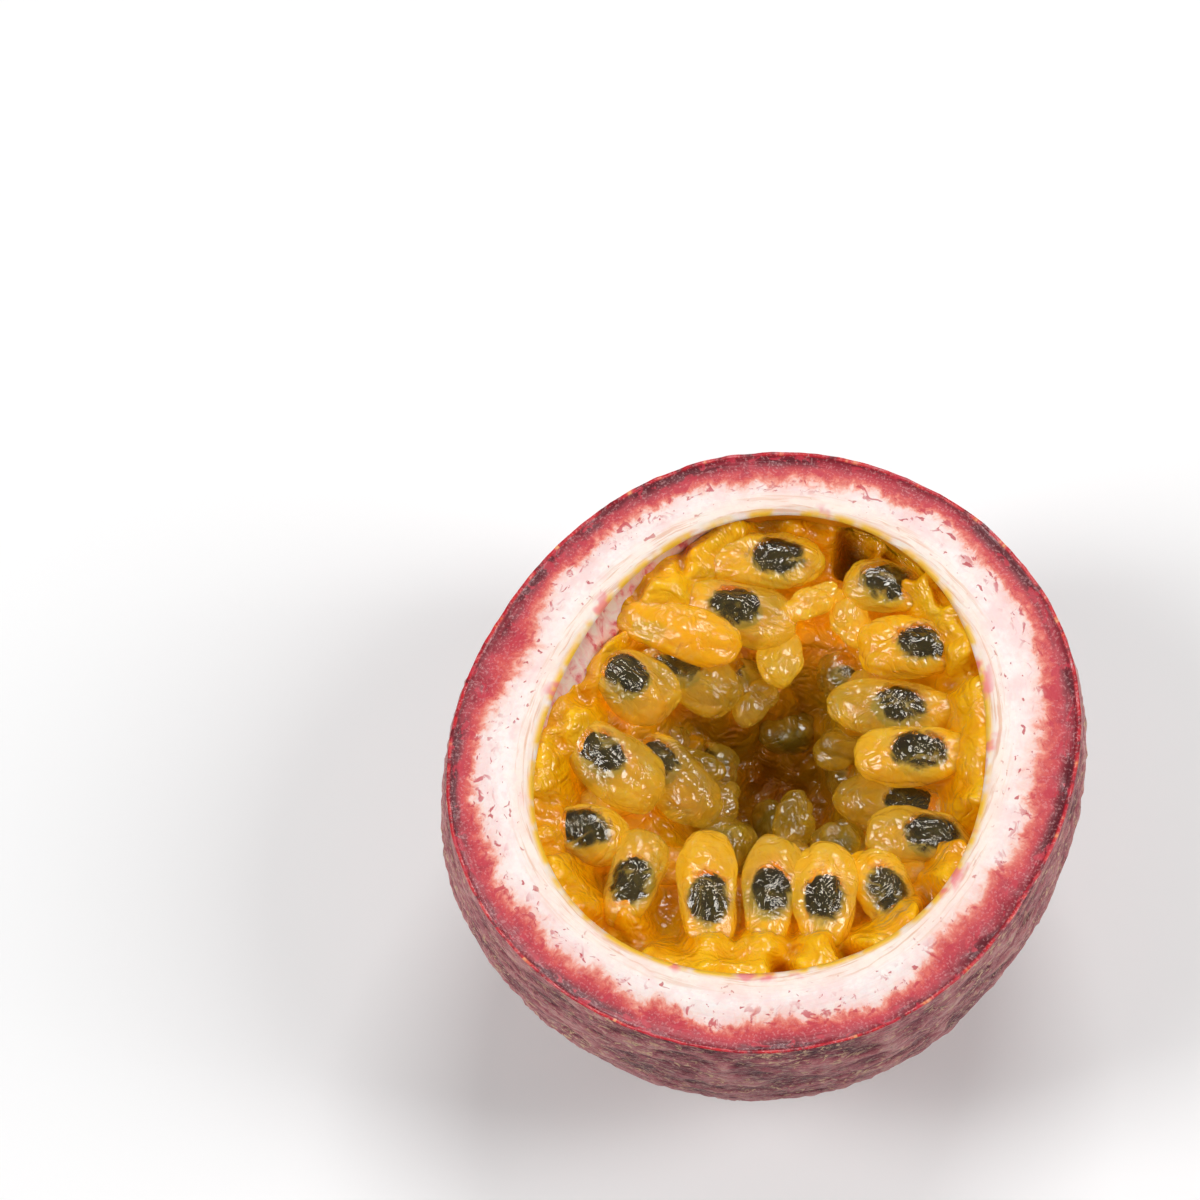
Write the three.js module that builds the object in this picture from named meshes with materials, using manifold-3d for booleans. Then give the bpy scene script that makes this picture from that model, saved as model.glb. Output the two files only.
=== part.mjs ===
// Half of a purple passion fruit, cut across its middle, resting cut face up.
// Millimetres, +Z up. The origin is on the resting surface under the middle of the fruit.
// Pieces: the rind, the pulp bed that lines it, the juice sacs with a seed in each, and the stem stub.

import * as THREE from 'three';
import { mergeVertices } from 'three/addons/utils/BufferGeometryUtils.js';
import Module from 'manifold-3d';

// ---- Driving dimensions, in millimetres ----------------------------------------------

const CUT_HEIGHT = 35;          // cut face above the resting surface
const WIDEST_HEIGHT = 28;       // the fruit's widest level, under the cut
const BODY_RADIUS = 28.6;       // outside radius at the widest level
const BODY_HALF_LENGTH = 28.6;  // from the widest level to the pole, before the pole flattens
const CAVITY_RADIUS = 21.9;     // inside radius at the widest level
const CAVITY_HALF_LENGTH = 21;  // from the widest level down to the cavity's floor

const DIMPLE_RADIUS = 2.7;      // the hollow at the pole where the stem grew
const DIMPLE_DEPTH = 1.6;
const DIMPLE_LIP_RADIUS = 3.6;  // from here out the pole is flat and the fruit rests on it

const BED_THICKNESS = 2.4;      // pulp bed on the side wall
const BED_FLOOR_THICKNESS = 6;
const BED_BELOW_CUT = 1.2;
const BED_LIP = 0.7;            // rounding of the bed's upper edge

const STUB_RADIUS = 2.1;
const STUB_HOLE_RADIUS = 0.9;
const STUB_HOLE_DEPTH = 0.5;
const STUB_BOTTOM = 0.3;        // the stub hangs this far above the resting surface

const SEED_LENGTH = 5.3;
const SEED_WIDTH = 3.3;
const SEED_THICKNESS = 2.2;
const SAC_FLATNESS = 0.9;       // a sac's thickness over its width
const SAC_TAPER = 0.25;         // how much narrower a sac is at its root
const ROOT_CHANNEL_RADIUS = 0.45;
const ROOT_CHANNEL_EXTRA = 3;   // past the sac's end, so that the channel opens outside

const GAP = 0.3;                // clearance between pieces that lie against each other

// The outline is a little out of round: [lobes, share of the radius, direction in degrees].
const OUTSIDE_WAVES = [[2, 0.039, 54], [3, 0.004, 69], [4, 0.009, 17]];
const CAVITY_WAVES = [[2, 0.068, 67], [3, 0.026, -38], [4, 0.008, 43]];
const ROUND_TO = 6;             // inside this radius the waves are gone, round the stem
const FULL_WAVES_FROM = 14;

// Facets.
const TURNS = 48;
const WALL_STEPS = 11;
const SAC_AROUND = 10;
const SAC_ALONG = 7;
const SEED_AROUND = 8;
const SEED_ALONG = 5;
const CHANNEL_SIDES = 5;

// Each sac hangs from its root near the wall to its tip near the middle:
// [root x, root y, root depth, tip x, tip y, tip depth, width, seed's shift towards the tip].
// Depths are below the cut face.
const SACS = [
  [-6.1, 19.3, 3.2, 5.2, 18.8, 3.4, 4.9, 1.6],
  [-8.3, 15.9, 3.4, 2.7, 13.0, 4.6, 5.5, 0.2],
  [15.0, 15.6, 3.6, 7.4, 17.4, 3.8, 4.8, 0.0],
  [18.8, 10.2, 3.0, 8.5, 10.8, 4.0, 5.4, -0.6],
  [-15.2, 10.1, 3.4, -8.5, 4.6, 4.6, 5.6, -0.9],
  [-12.1, 12.5, 5.6, -2.9, 6.3, 6.6, 5.0, -0.6],
  [-13.9, 13.8, 2.8, -2.3, 10.4, 3.2, 4.6, -2.3],
  [18.6, 4.9, 5.2, 5.9, 5.6, 5.2, 4.9, 0.2],
  [18.9, 0.2, 3.2, 8.1, 0.2, 4.0, 5.2, -0.1],
  [18.2, -4.4, 6.6, 6.4, -2.1, 7.2, 4.8, -0.8],
  [18.6, -7.6, 4.0, 8.9, -6.5, 5.2, 5.0, -0.9],
  [-17.4, 2.6, 3.2, -9.6, -3.6, 4.4, 5.7, -1.2],
  [-12.3, 3.6, 7.2, -4.7, -4.4, 6.6, 5.2, -1.6],
  [-19.6, -6.0, 3.8, -12.0, -7.6, 4.8, 4.8, -0.3],
  [-12.8, -15.8, 3.8, -10.1, -6.8, 4.4, 4.7, -0.5],
  [-4.7, -18.6, 3.6, -5.1, -6.9, 3.8, 4.9, -0.8],
  [-0.1, -18.3, 3.2, 1.1, -7.2, 4.2, 4.7, -0.2],
  [4.9, -18.4, 3.0, 5.3, -8.3, 3.8, 5.2, -0.3],
  [12.5, -15.8, 4.4, 8.3, -8.4, 5.0, 4.7, -0.4],
  [-5.9, 14.0, 9.4, -1.6, 7.4, 8.4, 5.0, 0.4],
  [2.6, 11.4, 17.0, 2.0, 4.8, 12.8, 5.6, 0.8],
  [-9.6, 3.2, 13.4, -2.6, 1.6, 10.8, 5.0, 0.3],
  [-0.6, -3.6, 18.6, 1.2, -2.2, 12.2, 5.0, 0.6],
  [-6.4, -11.2, 10.4, -2.2, -4.4, 8.0, 5.0, 0.4],
  [11.6, 13.4, 10.0, 5.6, 8.4, 7.8, 5.2, 0.4],
  [13.4, 3.0, 12.6, 5.8, 0.9, 11.4, 5.2, 0.4],
  [9.6, -11.4, 11.2, 5.6, -4.6, 8.2, 5.0, 0.4],
  [-15.6, 6.4, 9.8, -7.2, 3.2, 10.2, 4.8, 0.4],
];

const COLOURS = {
  rind: { color: 0x6b3a44, roughness: 0.62, metalness: 0 },
  pulp_bed: { color: 0xe08a10, roughness: 0.3, metalness: 0 },
  stem_stub: { color: 0xb49a5e, roughness: 0.8, metalness: 0 },
  juice_sac: { color: 0xdda52c, roughness: 0.18, metalness: 0 },
  seed: { color: 0x2b2815, roughness: 0.4, metalness: 0 },
};

// ---- Solids ----------------------------------------------------------------------------

const wasm = await Module();
wasm.setup();

function toSolid(geometry) {
  const bare = geometry.clone();
  bare.deleteAttribute('normal');
  bare.deleteAttribute('uv');
  const merged = mergeVertices(bare, 1e-4);
  const vertProperties = new Float32Array(merged.attributes.position.array);
  const triVerts = new Uint32Array(merged.index.array);
  return new wasm.Manifold(new wasm.Mesh({ numProp: 3, vertProperties, triVerts }));
}

function toGeometry(solid) {
  const { vertProperties, triVerts } = solid.getMesh();
  const geometry = new THREE.BufferGeometry();
  geometry.setAttribute('position', new THREE.BufferAttribute(new Float32Array(vertProperties), 3));
  geometry.setIndex(new THREE.BufferAttribute(new Uint32Array(triVerts), 1));
  geometry.computeVertexNormals();
  return geometry;
}

function named(name, geometry, look) {
  const mesh = new THREE.Mesh(geometry, new THREE.MeshStandardMaterial(look));
  mesh.name = name;
  return mesh;
}

// ---- Turned pieces ---------------------------------------------------------------------

function waveShare(waves, angle) {
  return waves.reduce((sum, [lobes, share, direction]) => (
    sum + share * Math.cos(lobes * (angle - THREE.MathUtils.degToRad(direction)))
  ), 0);
}

// Turns rows of [radius, height, waves] about the fruit's axis and puts it out of round.
function turned(rows, turns = TURNS) {
  const profile = rows.map(([radius, height]) => new THREE.Vector2(radius, height));
  const geometry = new THREE.LatheGeometry(profile, turns);
  geometry.rotateX(Math.PI / 2);
  const place = geometry.attributes.position;
  for (let vertex = 0; vertex < place.count; vertex += 1) {
    const [radius, , waves] = rows[vertex % rows.length];
    const x = place.getX(vertex);
    const y = place.getY(vertex);
    const strength = THREE.MathUtils.smoothstep(radius, ROUND_TO, FULL_WAVES_FROM);
    const scale = 1 + strength * waveShare(waves, Math.atan2(y, x));
    place.setXY(vertex, x * scale, y * scale);
  }
  return geometry;
}

// Rows along an oval wall, from one height to another.
function ovalRows(radius, halfLength, fromHeight, toHeight, waves, steps = WALL_STEPS) {
  const angleAt = (height) => Math.asin((height - WIDEST_HEIGHT) / halfLength);
  const start = angleAt(fromHeight);
  const end = angleAt(toHeight);
  return Array.from({ length: steps + 1 }, (_, step) => {
    const angle = THREE.MathUtils.lerp(start, end, step / steps);
    return [radius * Math.cos(angle), WIDEST_HEIGHT + halfLength * Math.sin(angle), waves];
  });
}

function makeRind() {
  const outside = ovalRows(BODY_RADIUS, BODY_HALF_LENGTH, 0, CUT_HEIGHT, OUTSIDE_WAVES);
  const cavityFloor = WIDEST_HEIGHT - CAVITY_HALF_LENGTH;
  const inside = ovalRows(CAVITY_RADIUS, CAVITY_HALF_LENGTH, CUT_HEIGHT, cavityFloor, CAVITY_WAVES);
  inside[inside.length - 1][0] = 0;
  return turned([
    [0, DIMPLE_DEPTH, OUTSIDE_WAVES],
    [DIMPLE_RADIUS, DIMPLE_DEPTH, OUTSIDE_WAVES],
    [DIMPLE_LIP_RADIUS, 0, OUTSIDE_WAVES],
    ...outside,
    ...inside,
  ]);
}

function makeStemStub() {
  const top = DIMPLE_DEPTH - GAP;
  return turned([
    [0, STUB_BOTTOM + STUB_HOLE_DEPTH, []],
    [STUB_HOLE_RADIUS, STUB_BOTTOM + STUB_HOLE_DEPTH, []],
    [STUB_HOLE_RADIUS, STUB_BOTTOM, []],
    [STUB_RADIUS * 0.8, STUB_BOTTOM, []],
    [STUB_RADIUS, STUB_BOTTOM + GAP, []],
    [STUB_RADIUS, top, []],
    [0, top, []],
  ], 16);
}

function makeBedBlank() {
  const outerRadius = CAVITY_RADIUS - GAP;
  const outerHalfLength = CAVITY_HALF_LENGTH - GAP;
  const innerRadius = outerRadius - BED_THICKNESS;
  const innerHalfLength = outerHalfLength - BED_FLOOR_THICKNESS;
  const bedTop = CUT_HEIGHT - BED_BELOW_CUT;
  const outerFloor = WIDEST_HEIGHT - outerHalfLength;
  const innerFloor = WIDEST_HEIGHT - innerHalfLength;
  const outside = ovalRows(outerRadius, outerHalfLength, outerFloor, bedTop - BED_LIP, CAVITY_WAVES, 8);
  const inside = ovalRows(innerRadius, innerHalfLength, bedTop - BED_LIP, innerFloor, CAVITY_WAVES, 8);
  outside[0][0] = 0;
  inside[inside.length - 1][0] = 0;
  const lipOutside = outside[outside.length - 1][0] - BED_LIP;
  const lipInside = inside[0][0] + BED_LIP;
  return turned([
    ...outside,
    [lipOutside, bedTop, CAVITY_WAVES],
    [lipInside, bedTop, CAVITY_WAVES],
    ...inside,
  ]);
}

// ---- Sacs and seeds --------------------------------------------------------------------

// A frame whose X runs from the root to the tip, with Z as near upright as it can be.
function sacPlace([rootX, rootY, rootDepth, tipX, tipY, tipDepth, width, seedShift]) {
  const root = new THREE.Vector3(rootX, rootY, CUT_HEIGHT - rootDepth);
  const tip = new THREE.Vector3(tipX, tipY, CUT_HEIGHT - tipDepth);
  const along = tip.clone().sub(root);
  const length = along.length();
  along.normalize();
  const side = new THREE.Vector3(0, 0, 1).cross(along).normalize();
  const up = along.clone().cross(side);
  const middle = root.clone().add(tip).multiplyScalar(0.5);
  const matrix = new THREE.Matrix4().makeBasis(along, side, up).setPosition(middle);
  return { matrix, length, width, seedShift };
}

function oval(length, width, thickness, around, steps) {
  const geometry = new THREE.SphereGeometry(1, around, steps);
  geometry.rotateZ(-Math.PI / 2);
  geometry.scale(length / 2, width / 2, thickness / 2);
  return geometry;
}

function sacBody({ matrix, length, width }, grown) {
  const fullLength = length + 2 * grown;
  const thickness = width * SAC_FLATNESS + 2 * grown;
  const geometry = oval(fullLength, width + 2 * grown, thickness, SAC_AROUND, SAC_ALONG);
  const place = geometry.attributes.position;
  for (let vertex = 0; vertex < place.count; vertex += 1) {
    const towardsRoot = 0.5 - place.getX(vertex) / fullLength;
    const narrow = 1 - SAC_TAPER * towardsRoot;
    place.setY(vertex, place.getY(vertex) * narrow);
    place.setZ(vertex, place.getZ(vertex) * narrow);
  }
  return geometry.applyMatrix4(matrix);
}

function seedBody({ matrix, seedShift }, grown) {
  const geometry = oval(
    SEED_LENGTH + 2 * grown,
    SEED_WIDTH + 2 * grown,
    SEED_THICKNESS + 2 * grown,
    SEED_AROUND,
    SEED_ALONG,
  );
  geometry.translate(seedShift, 0, 0);
  return geometry.applyMatrix4(matrix);
}

// The seed's stalk runs in this channel, from the seed out through the sac's root.
function rootChannel({ matrix, length, seedShift }) {
  const reach = seedShift + length / 2 + ROOT_CHANNEL_EXTRA;
  const geometry = new THREE.CylinderGeometry(
    ROOT_CHANNEL_RADIUS,
    ROOT_CHANNEL_RADIUS,
    reach,
    CHANNEL_SIDES,
  );
  geometry.rotateZ(Math.PI / 2);
  geometry.translate(seedShift - reach / 2, 0, 0);
  return geometry.applyMatrix4(matrix);
}

// ---- The half fruit --------------------------------------------------------------------

const fruit = new THREE.Group();
const places = SACS.map(sacPlace);
const clearances = places.map((place) => toSolid(sacBody(place, GAP)));

let bed = toSolid(makeBedBlank());
clearances.forEach((clearance) => {
  bed = bed.subtract(clearance);
});

fruit.add(named('rind', makeRind(), COLOURS.rind));
fruit.add(named('pulp_bed', toGeometry(bed), COLOURS.pulp_bed));
fruit.add(named('stem_stub', makeStemStub(), COLOURS.stem_stub));

places.forEach((place, index) => {
  const number = String(index + 1).padStart(2, '0');
  let sac = toSolid(sacBody(place, 0));
  clearances.slice(0, index).forEach((clearance) => {
    sac = sac.subtract(clearance);
  });
  sac = sac.subtract(toSolid(seedBody(place, GAP)));
  sac = sac.subtract(toSolid(rootChannel(place)));
  fruit.add(named(`juice_sac_${number}`, toGeometry(sac), COLOURS.juice_sac));
  fruit.add(named(`seed_${number}`, seedBody(place, 0), COLOURS.seed));
});

// The waves move the outline's middle a little, so the fruit is set back over the origin.
const outline = new THREE.Box3().setFromObject(fruit);
const middle = outline.getCenter(new THREE.Vector3());
fruit.position.set(-middle.x, -middle.y, -outline.min.z);

export default fruit;
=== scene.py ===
# %% [markdown]
# # A halved passion fruit
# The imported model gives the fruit's plain solids at their real size: a rind, a bed of pulp, juice sacs with
# a seed in each, and the end of the stalk. This lesson makes each of them again as a fine surface in the
# same place, and gives it the finish of the real thing: dry wrinkled skin, spongy rind, wet pulp and clear
# gel.

# %% Load the frame
import math

import bpy
import numpy as np
from mathutils import Matrix, Vector, noise


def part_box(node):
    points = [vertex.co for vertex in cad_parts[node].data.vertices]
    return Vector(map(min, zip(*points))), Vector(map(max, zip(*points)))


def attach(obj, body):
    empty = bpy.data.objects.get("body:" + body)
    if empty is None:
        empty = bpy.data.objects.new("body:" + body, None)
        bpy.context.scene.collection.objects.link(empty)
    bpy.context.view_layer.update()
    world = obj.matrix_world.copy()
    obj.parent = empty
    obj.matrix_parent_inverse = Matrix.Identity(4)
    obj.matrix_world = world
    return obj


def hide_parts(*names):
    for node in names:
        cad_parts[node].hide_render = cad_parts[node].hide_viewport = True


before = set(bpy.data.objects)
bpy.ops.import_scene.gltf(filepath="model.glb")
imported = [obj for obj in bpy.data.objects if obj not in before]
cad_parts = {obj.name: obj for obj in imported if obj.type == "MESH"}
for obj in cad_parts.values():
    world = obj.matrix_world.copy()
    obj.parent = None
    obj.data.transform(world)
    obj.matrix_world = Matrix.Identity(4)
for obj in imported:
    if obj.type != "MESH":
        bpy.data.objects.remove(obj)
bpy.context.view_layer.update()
MM = 0.001

# %% [markdown]
# ## Tools for the whole lesson
# Operators act on whatever is selected, so each step starts with a clean selection. Every piece starts as a
# primitive from the Add menu. Its finer shape is noise that runs along folds and round the rim, which a
# Displace modifier can't follow. So all points of a mesh are read into one array, moved there and put back.


# %% Selecting, cleaning up and moving points
def select_only(piece):
    if bpy.context.object and bpy.context.object.mode != "OBJECT":
        bpy.ops.object.mode_set(mode="OBJECT")
    bpy.ops.object.select_all(action="DESELECT")
    piece.select_set(True)
    bpy.context.view_layer.objects.active = piece


def added(operator, name, **settings):
    """Runs an operator of the Add menu with nothing selected, and names what it made."""
    bpy.ops.object.select_all(action="DESELECT")
    operator(**settings)
    bpy.context.object.name = name
    return bpy.context.object


def clean_up(piece):
    """Merges doubles and turns every face outwards."""
    select_only(piece)
    bpy.ops.object.mode_set(mode="EDIT")
    bpy.ops.mesh.select_all(action="SELECT")
    bpy.ops.mesh.remove_doubles(threshold=1e-6)
    bpy.ops.mesh.normals_make_consistent(inside=False)
    bpy.ops.object.mode_set(mode="OBJECT")
    bpy.ops.object.shade_smooth()


def points_of(piece):
    flat = np.zeros(len(piece.data.vertices) * 3)
    piece.data.vertices.foreach_get("co", flat)
    return flat.reshape(-1, 3)


def move_points(piece, points):
    piece.data.vertices.foreach_set("co", np.asarray(points).ravel())
    piece.data.update()


def keep(piece, name, values):
    """Stores a number or a vector for each point, which a material reads with an Attribute node."""
    values = np.asarray(values, float)
    kind, key = ("FLOAT", "value") if values.ndim == 1 else ("FLOAT_VECTOR", "vector")
    attribute = piece.data.attributes.get(name) or piece.data.attributes.new(name, kind, "POINT")
    attribute.data.foreach_set(key, values.ravel())


def settle(piece, node_names):
    """Parents a finished piece to the root and hides the plain solids it stands for."""
    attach(piece, "root")
    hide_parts(*node_names)


# %% [markdown]
# Grown things have no straight lines. All the unevenness here comes from smooth noise that is read at each
# point of a surface. The same place always gives the same value, so the fruit comes out alike on each run.


# %% Noise and blending
def smooth_noise(points):
    """Soft hills and hollows from -1 to 1. points are in units of one hill."""
    return np.array([noise.noise(Vector(point)) for point in points])


def crease_noise(points):
    """1 along thin wandering lines, falling to 0 away from them."""
    return 1 - np.minimum(1, 3.2 * np.abs(smooth_noise(points)))


def on_ring(angle, size, height=0):
    """Points on a ring, where noise can be read all the way round without a seam."""
    return np.column_stack([np.cos(angle) * size, np.sin(angle) * size, height * np.ones_like(angle)])


def ease(values, start, end):
    """0 before start, 1 after end, and a smooth step between."""
    share = np.clip((values - start) / (end - start), 0, 1)
    return share * share * (3 - 2 * share)


def mix(first, second, share):
    return first + (second - first) * share


# %% [markdown]
# ## Measuring the plain rind
# The cut face's outer and inner edges are not quite round. They are read off the plain rind, and a few
# smooth waves are fitted through them, so the fine rind follows the same outline with no corners.

# %% Outline of the cut face
WAVE_COUNT = 4
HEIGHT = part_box("rind")[1].z
CUT_LAYER = 0.1 * MM
plain_rind = points_of(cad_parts["rind"])


def wave_terms(angles):
    terms = [np.ones_like(angles)]
    for lobes in range(1, WAVE_COUNT + 1):
        terms += [np.cos(lobes * angles), np.sin(lobes * angles)]
    return np.stack(terms, axis=-1)


def fit_outline(points):
    """A function of angle that gives the radius of a ring of points."""
    angles = np.arctan2(points[:, 1], points[:, 0])
    strengths = np.linalg.lstsq(wave_terms(angles), np.hypot(points[:, 0], points[:, 1]), rcond=None)[0]
    return lambda angle: wave_terms(angle) @ strengths


cut_points = plain_rind[plain_rind[:, 2] > HEIGHT - CUT_LAYER]
cut_radii = np.hypot(cut_points[:, 0], cut_points[:, 1])
edge_split = (cut_radii.min() + cut_radii.max()) / 2
outer_edge = fit_outline(cut_points[cut_radii > edge_split])
inner_edge = fit_outline(cut_points[cut_radii < edge_split])
OUTER_RADIUS = cut_radii[cut_radii > edge_split].mean()
INNER_RADIUS = cut_radii[cut_radii < edge_split].mean()
print("cut face: outer radius", OUTER_RADIUS, "inner radius", INNER_RADIUS)

# %% [markdown]
# ## The rind's blank
# A fruit is nearly a turned shape. Half of its section is a list of rows, each with a radius and a height.
# A flat grid is added with one row of points for each of them and then rolled up about the upright axis
# like a sheet of paper, and its seam and poles are merged. A spin would give the same shape but takes far
# longer at this fineness. Each point keeps its row number, so that later steps know skin, cut face and
# inner wall apart.

# %% Roll up a section
WIDEST_HEIGHT = 0.8 * HEIGHT


def oval_rows(widest_radius, half_length, start_height, end_height, count):
    start = math.asin(max(-1, (start_height - WIDEST_HEIGHT) / half_length))
    end = math.asin((end_height - WIDEST_HEIGHT) / half_length)
    angles = np.linspace(start, end, count)
    return np.stack([widest_radius * np.cos(angles), WIDEST_HEIGHT + half_length * np.sin(angles)], axis=1)


def roll_section(name, rows, segments):
    """Rolls (radius, height) rows about the upright axis and returns the piece, with its row numbers."""
    divisions = {"x_subdivisions": segments, "y_subdivisions": len(rows) - 1}
    piece = added(bpy.ops.mesh.primitive_grid_add, name, size=2, **divisions)
    flat = points_of(piece)
    angles = flat[:, 0] * math.pi
    numbers = np.rint((flat[:, 1] + 1) / 2 * (len(rows) - 1)).astype(int)
    radii, heights = rows[numbers].T
    move_points(piece, on_ring(angles, radii, heights))
    keep(piece, "row", numbers)
    clean_up(piece)
    kept = np.zeros(len(piece.data.vertices))
    piece.data.attributes["row"].data.foreach_get("value", kept)
    return piece, np.rint(kept).astype(int)


# %% The rind's rows
BODY_HALF_LENGTH = 0.817 * HEIGHT
CAVITY_HALF_LENGTH = 0.6 * HEIGHT
DIMPLE_RADIUS = 2.7 * MM
DIMPLE_DEPTH = 1.6 * MM
DIMPLE_LIP_RADIUS = 3.7 * MM
DIMPLE_LIP_HEIGHT = 0.1 * MM
RIND_SEGMENTS = 480
SKIN_ROWS = 132
CUT_ROWS = 24
WALL_ROWS = 36
lip_slope = math.sqrt(1 - (WIDEST_HEIGHT / BODY_HALF_LENGTH) ** 2)
body_radius = OUTER_RADIUS / math.cos(math.asin((HEIGHT - WIDEST_HEIGHT) / BODY_HALF_LENGTH))
cavity_radius = INNER_RADIUS / math.cos(math.asin((HEIGHT - WIDEST_HEIGHT) / CAVITY_HALF_LENGTH))
flat_radius = body_radius * lip_slope
dimple_rows = np.array([
    (0, DIMPLE_DEPTH),
    (DIMPLE_RADIUS * 0.5, DIMPLE_DEPTH),
    (DIMPLE_RADIUS * 0.85, DIMPLE_DEPTH * 0.94),
    (DIMPLE_RADIUS * 1.02, DIMPLE_DEPTH * 0.6),
    (DIMPLE_RADIUS * 1.14, DIMPLE_DEPTH * 0.22),
    (DIMPLE_LIP_RADIUS, DIMPLE_LIP_HEIGHT),
    (mix(DIMPLE_LIP_RADIUS, flat_radius, 0.5), 0),
])
skin_rows = oval_rows(body_radius, BODY_HALF_LENGTH, 0, HEIGHT, SKIN_ROWS)
cut_shares = np.linspace(0, 1, CUT_ROWS + 2)[1:-1]
cut_rows = np.stack([mix(OUTER_RADIUS, INNER_RADIUS, cut_shares), np.full(CUT_ROWS, HEIGHT)], axis=1)
cavity_floor = WIDEST_HEIGHT - CAVITY_HALF_LENGTH
wall_rows = oval_rows(cavity_radius, CAVITY_HALF_LENGTH, HEIGHT, cavity_floor, WALL_ROWS)
wall_rows[-1, 0] = 0
rind_rows = np.concatenate([dimple_rows, skin_rows, cut_rows, wall_rows])
rind, rind_row = roll_section("fruit_rind", rind_rows, RIND_SEGMENTS)
LAST_SKIN_ROW = len(dimple_rows) + SKIN_ROWS - 1
FIRST_WALL_ROW = LAST_SKIN_ROW + CUT_ROWS + 1
print("rind blank:", len(rind.data.polygons), "faces")

# %% [markdown]
# ## Wrinkles
# As the fruit dries its skin shrinks into long soft folds round the belly, a crumpled net lower down and
# pleats that run into the stem. A sculptor would brush these in. Here every point of the skin is pushed
# along its normal by noise that is read in stretched coordinates: along the fold a hill is long, across it
# a hill is short.

# %% Put the rind out of round
def out_of_round(radius):
    """0 near the axis, where the fruit is round, and 1 where it has the cut face's outline."""
    return ease(radius, 6 * MM, 14 * MM)


place = points_of(rind)
angle = np.arctan2(place[:, 1], place[:, 0])
radius = np.hypot(place[:, 0], place[:, 1])
is_skin = rind_row <= LAST_SKIN_ROW
is_wall = rind_row >= FIRST_WALL_ROW
outer_scale = outer_edge(angle) / OUTER_RADIUS
inner_scale = inner_edge(angle) / INNER_RADIUS
across = np.clip((rind_row - LAST_SKIN_ROW) / (FIRST_WALL_ROW - LAST_SKIN_ROW), 0, 1)
stretched = mix(1, mix(outer_scale, inner_scale, across), out_of_round(radius))
place[:, :2] *= stretched[:, None]
print("out of round from", stretched.min(), "to", stretched.max())

# %% Wrinkle the skin
FOLD_HEIGHT = 0.46
SWELL_HEIGHT = 0.30
GRAIN_HEIGHT = 0.05
MIDDLE_RIDGE = 0.45
below_cut = (HEIGHT - place[:, 2]) / MM
from_pole = np.hypot(radius, place[:, 2]) / MM
belly = on_ring(angle, 28)[:, :2]


def wrinkle_height(which):
    """Height of the folds in millimetres, and how far each point is up a ridge, for the points in which."""
    spot = place[which] / MM
    drop = below_cut[which][:, None]
    ring = belly[which]
    sway = np.stack([smooth_noise(spot / 9 + shift) for shift in (0, 20, 40)], axis=1)
    long_fold = crease_noise(np.hstack([ring / 7.5, drop / 1.9 + 1.4 * sway[:, :1]]))
    short_fold = crease_noise(np.hstack([ring / 3.4, drop / 1.1 + 1.1 * sway[:, 1:2]]) + 11)
    crumple = crease_noise(spot / 4.2 + 0.8 * sway + 30)
    crumple_fine = crease_noise(spot / 2.1 + 0.6 * sway + 50)
    pleat = crease_noise(np.hstack([ring / 3.6, drop / 30 + 0.25 * sway[:, :1]]) + 70)
    low = ease(below_cut[which], 8, 20)
    pole = 1 - ease(from_pole[which], 8, 15)
    ridge = mix(0.6 * long_fold + 0.4 * short_fold, 0.62 * crumple + 0.38 * crumple_fine, 0.75 * low)
    ridge = mix(ridge, pleat, pole)
    swell = smooth_noise(spot / 8 + 90)
    height = FOLD_HEIGHT * (ridge - MIDDLE_RIDGE) + SWELL_HEIGHT * swell * (1 - pole)
    height += GRAIN_HEIGHT * smooth_noise(spot * 1.6)
    return height, ridge


skin_height, skin_ridge = wrinkle_height(is_skin)
near_edge = 1 - ease(below_cut[is_skin], 0, 2.6)
near_stem = 1 - ease(from_pole[is_skin], 5, 9)
skin_height *= (1 - 0.75 * near_edge) * (1 - 0.98 * near_stem)
outward = place[is_skin] / np.array([body_radius, body_radius, BODY_HALF_LENGTH]) ** 2
outward[:, 2] -= WIDEST_HEIGHT / BODY_HALF_LENGTH ** 2
outward /= np.linalg.norm(outward, axis=1)[:, None]
outward[:, 2] = np.where(near_edge > 0.99, 0, outward[:, 2])
place[is_skin] += outward * skin_height[:, None] * MM
place[:, 2] = np.where(is_skin, np.maximum(place[:, 2], 0), place[:, 2])
ridge_value = np.zeros(len(place))
ridge_value[is_skin] = skin_ridge
keep(rind, "ridge", ridge_value)
print("wrinkles from", skin_height.min(), "to", skin_height.max(), "mm")

# %% [markdown]
# ## The cut face
# A knife leaves the face level, but the parts dry at different rates: the skin's edge stands up as a thin
# lip, the crimson flesh just inside it sinks, the white pith swells a little and rounds off into the
# cavity. In one place the wall stands back as a pink shelf. Each point keeps its depth under the skin and
# its distance from the cavity, for the finish.

# %% Shape the cut face
SHELF_HEADING = math.radians(146)
SHELF_SPREAD = 0.5
SHELF_DEPTH = 2.6
LIP_HEIGHT = 0.16
SINK_DEPTH = 0.2
PITH_HEIGHT = 0.22
ROUND_OFF_DROP = 0.25


def near_shelf(heading):
    """1 where the wall stands back, and 0 elsewhere."""
    return np.exp(-((heading - SHELF_HEADING) / SHELF_SPREAD) ** 2)


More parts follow.
